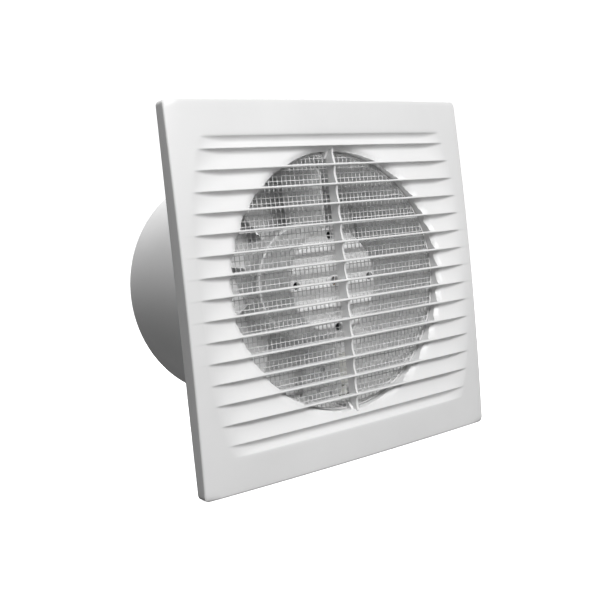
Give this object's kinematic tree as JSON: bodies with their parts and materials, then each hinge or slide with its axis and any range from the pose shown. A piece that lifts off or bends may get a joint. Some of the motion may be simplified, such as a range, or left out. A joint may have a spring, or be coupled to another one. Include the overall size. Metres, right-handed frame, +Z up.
{
  "type": "bathroom extractor fan",
  "caption": "Axial bathroom extractor fan: square domed louvred cover that pulls off, round duct spigot, motor in a cup on two struts, impeller that turns.",
  "frame": {"origin": "where the duct's axis meets the wall's face, which is the plane of the flange's back", "axes": "+Y into the wall along the duct, -Y into the room, +Z up, +X to the right of someone who faces the cover"},
  "size_m": [0.205, 0.1306, 0.205],
  "materials": {
    "white_abs": "satin",
    "casing_abs": "satin",
    "screen_net": "fine woven net",
    "impeller_abs": "satin",
    "steel": "turned",
    "lamination_steel": "laminated sheet",
    "bronze": "sintered",
    "copper": "enamelled copper",
    "nylon": "moulded",
    "zinc": "die-cast",
    "rubber": "matt",
    "brown_pvc": "wire insulation",
    "blue_pvc": "wire insulation",
    "grey_pvc": "wire insulation"
  },
  "bodies": {
    "casing": {"casing": "casing_abs", "stator_core": "lamination_steel", "bobbin_left": "nylon", "bobbin_right": "nylon", "winding_left": "copper", "winding_right": "copper", "shading_ring_left": "copper", "shading_ring_right": "copper", "bearing_front": "bronze", "bearing_rear": "bronze", "motor_bracket": "zinc", "bracket_screw_1": "steel", "bracket_screw_2": "steel", "lead_live": "brown_pvc", "lead_neutral": "blue_pvc", "coil_link": "grey_pvc", "terminal_block": "nylon", "terminal_screw_live": "zinc", "terminal_screw_neutral": "zinc", "terminal_block_screw": "steel", "cable_clamp": "nylon", "clamp_screw_1": "steel", "clamp_screw_2": "steel", "cable_grommet": "rubber"},
    "cover": {"grille_cover": "white_abs", "insect_screen": "screen_net"},
    "rotor": {"impeller": "impeller_abs", "motor_shaft": "steel", "rotor_core": "lamination_steel", "thrust_washer_front": "nylon", "thrust_washer_rear": "nylon", "impeller_nut": "steel"}
  },
  "joints": [
    {"name": "impeller_spin", "type": "hinge", "parent": "casing", "child": "rotor", "pos_m": [0, 0, 0], "axis": [0, 1, 0], "continuous": true},
    {"name": "cover_pull", "type": "slide", "parent": "casing", "child": "cover", "axis": [0, -1, 0], "range_m": [0, 0.06]}
  ]
}
